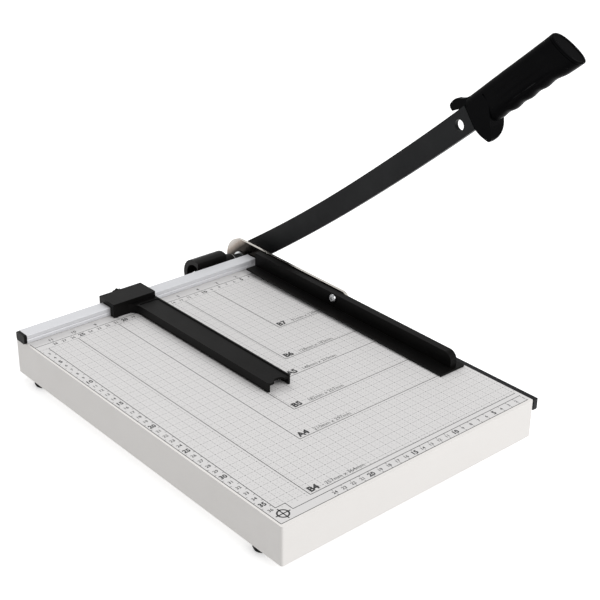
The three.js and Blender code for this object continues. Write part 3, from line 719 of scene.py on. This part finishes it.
HILT = (  # distance from the hinge and height: start, then a handle and an end for each curve
    (388.6, 13.5), (392, 16.4), (400, 16.6), (406, 16.6), (412, 16.6), (417, 8),
    (412.8, 1.1), (408.9, -6), (405.6, -12.3), (403.8, -16.7), (402, -21.2),
    (400.4, -24), (396.8, -23), (391, -16), (388.8, -9.2), (388.7, 2), (388.6, 13.5),
)
HILT_NEAR, HILT_FAR = 0.3, 19.2  # its two sides, along X
HILT_BEVEL, TAB_BEVEL = 0.8, 1.1
SHOULDER, SHOULDER_SLOPE = 6, 0.7  # above this height its far side slopes in
WAIST, TIP, TIP_THICKNESS = -9.6, -23.5, 0.6  # the finger guard, below the grip
TAB = (  # the thumb tab, given in the same way
    (367.4, 18.8), (365.6, 24.6), (369.4, 25.8), (375.2, 27.8), (380, 26.2), (385, 22.9),
    (391, 22), (394, 21.8), (396, 21.4), (396, 12), (392, 6), (386, 8), (384, 10),
    (382, 16.4), (367.4, 18.8),
)
TAB_NEAR, TAB_FAR = 5.1, 10.5


def hilt_far(height):
    """How far right the hilt reaches at a height: full above the waist, oval below it."""
    if height >= SHOULDER:
        return HILT_FAR - (height - SHOULDER) * SHOULDER_SLOPE
    if height >= WAIST:
        return HILT_FAR
    drop = min((WAIST - height) / (WAIST - TIP), 1)
    thinnest = HILT_NEAR + TIP_THICKNESS
    return thinnest + (HILT_FAR - thinnest) * math.sqrt(1 - drop**2)


def slab(mesh, outline, near, far_at):
    """The near face and the sides of a slab; far_at gives its far side at a height."""
    near_face = [mesh.verts.new(arm_point(s, h, near)) for s, h in outline]
    far_face = [mesh.verts.new(arm_point(s, h, far_at(h))) for s, h in outline]
    mesh.faces.new(near_face)
    for j in range(len(outline)):
        k = (j + 1) % len(outline)
        mesh.faces.new((near_face[k], near_face[j], far_face[j], far_face[k]))
    return far_face


def hilt():
    """The hilt and its finger guard, rounded over towards the right below the grip."""
    mesh = bmesh.new()
    slab(mesh, bezier(HILT), HILT_NEAR, hilt_far)
    open_edges = [edge for edge in mesh.edges if len(edge.link_faces) == 1]
    bmesh.ops.triangle_fill(mesh, use_beauty=True, edges=open_edges)
    closed_piece("hilt_moulding", mesh, HILT_BEVEL)


def thumb_tab():
    """The flat tab beside the blade, in front of the grip."""
    mesh = bmesh.new()
    far_face = slab(mesh, bezier(TAB), TAB_NEAR, lambda height: TAB_FAR)
    mesh.faces.new(far_face[::-1])
    closed_piece("thumb_tab_moulding", mesh, TAB_BEVEL)


hilt()
thumb_tab()

# ---------- camera and studio ----------
LENS, SENSOR = 75.57, 36  # millimetres
CAMERA_PLACE = (-810.73, -980.77, 578.69)  # millimetres from the table's corner
CAMERA_HEADING, CAMERA_TILT, CAMERA_ROLL = -41.2077, 63.8472, 0.7333  # degrees
SURROUND_STRENGTH, FLOOR_GLOW, FLOOR_SIZE = 0.62, 0.45, 6
LIGHTS = (  # name, place, target, size and power, in metres and watts
    ("key", (0.55, -1.75, 1.4), (0, 0, 0), (1.6, 1.6), 27.5),
    ("rim", (0.4, 1.7, 1.7), (0, 0, 0.1), (1.4, 0.8), 9),
)


def aim_camera():
    """The lens and place that show the cutter from its front left, from above."""
    data = bpy.data.cameras.new("camera")
    data.sensor_width = SENSOR
    data.lens = LENS
    data.clip_start = 0.05
    data.clip_end = 20
    camera = bpy.data.objects.new("camera", data)
    bpy.context.scene.collection.objects.link(camera)
    heading = Matrix.Rotation(math.radians(CAMERA_HEADING), 4, "Z")
    tilt = Matrix.Rotation(math.radians(CAMERA_TILT), 4, "X")
    roll = Matrix.Rotation(math.radians(CAMERA_ROLL), 4, "Z")
    camera.matrix_world = Matrix.Translation(at(*CAMERA_PLACE)) @ heading @ tilt @ roll
    bpy.context.scene.camera = camera


def area_light(name, place, target, size, power):
    """A rectangular lamp pointed at a target."""
    data = bpy.data.lights.new(name, "AREA")
    data.shape = "RECTANGLE"
    data.size, data.size_y = size
    data.energy = power
    lamp = bpy.data.objects.new(name, data)
    bpy.context.scene.collection.objects.link(lamp)
    lamp.location = place
    lamp.rotation_euler = (Vector(target) - Vector(place)).to_track_quat("-Z", "Y").to_euler()


def add_floor():
    """A plain pale floor that glows a little and doesn't light the tray from below."""
    mesh = bmesh.new()
    bmesh.ops.create_grid(mesh, x_segments=2, y_segments=2, size=FLOOR_SIZE)
    data = to_data("floor", mesh)
    floor = bpy.data.objects.new("floor", data)
    bpy.context.scene.collection.objects.link(floor)
    floor.location = (0, 0, CAD_BOX[0][2])
    s = Shader("studio_floor", (0.92, 0.92, 0.92), 0.85, Emission_Strength=FLOOR_GLOW)
    s.out.inputs["Emission Color"].default_value = (1, 1, 1, 1)
    s.set("Base Color", s.mix(s.noise(3), (0.915, 0.915, 0.915), (0.925, 0.925, 0.925)))
    data.materials.append(s.material)
    floor.visible_diffuse = False


def set_studio():
    """An even surround, a large soft key light from the front and a rim light behind."""
    world = bpy.data.worlds.new("studio")
    world.use_nodes = True
    surround = world.node_tree.nodes["Background"]
    surround.inputs["Color"].default_value = (1, 1, 1, 1)
    surround.inputs["Strength"].default_value = SURROUND_STRENGTH
    bpy.context.scene.world = world
    bpy.context.scene.view_settings.view_transform = "Standard"
    for light in LIGHTS:
        area_light(*light)
    add_floor()


aim_camera()
set_studio()
